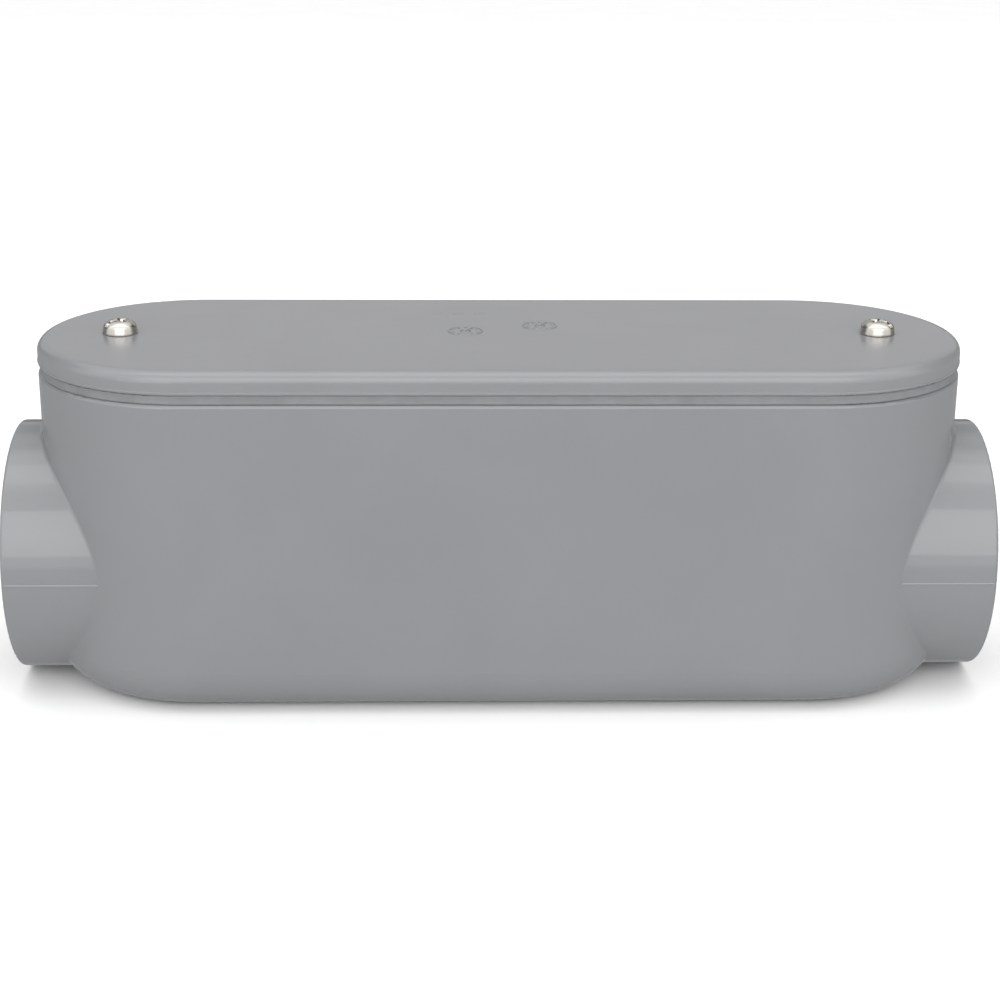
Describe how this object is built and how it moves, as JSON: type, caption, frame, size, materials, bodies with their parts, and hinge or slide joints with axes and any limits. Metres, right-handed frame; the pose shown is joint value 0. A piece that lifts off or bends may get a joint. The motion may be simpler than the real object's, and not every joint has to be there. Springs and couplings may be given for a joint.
{
  "type": "conduit body",
  "caption": "Straight-through conduit body in rigid plastic: a deep rounded box with a conduit socket at each end, under a flat gasketed cover held by screws.",
  "frame": {"origin": "centre of the flat back, under the middle of the body", "axes": "+X along the conduit towards the right socket, +Z from the back towards the cover"},
  "size_m": [0.2642, 0.0834, 0.0981],
  "materials": {
    "body_plastic": "moulded, satin",
    "cover_plastic": "moulded, fine satin",
    "gasket_foam": "closed-cell foam with a skin",
    "screw_steel": "bright",
    "insert_brass": "turned"
  },
  "bodies": {
    "conduit_body": {"conduit_body": "body_plastic", "left_insert": "insert_brass", "right_insert": "insert_brass"},
    "cover": {"cover": "cover_plastic", "gasket": "gasket_foam"},
    "left_cover_screw": {"left_cover_screw": "screw_steel"},
    "right_cover_screw": {"right_cover_screw": "screw_steel"}
  },
  "joints": [
    {"name": "cover_lift", "type": "slide", "parent": "conduit_body", "child": "cover", "axis": [0, 0, 1], "range_m": [0, 0.03]},
    {"name": "left_screw_out", "type": "slide", "parent": "cover", "child": "left_cover_screw", "axis": [0, 0, 1], "range_m": [0, 0.008]},
    {"name": "right_screw_out", "type": "slide", "parent": "cover", "child": "right_cover_screw", "axis": [0, 0, 1], "range_m": [0, 0.008]}
  ]
}
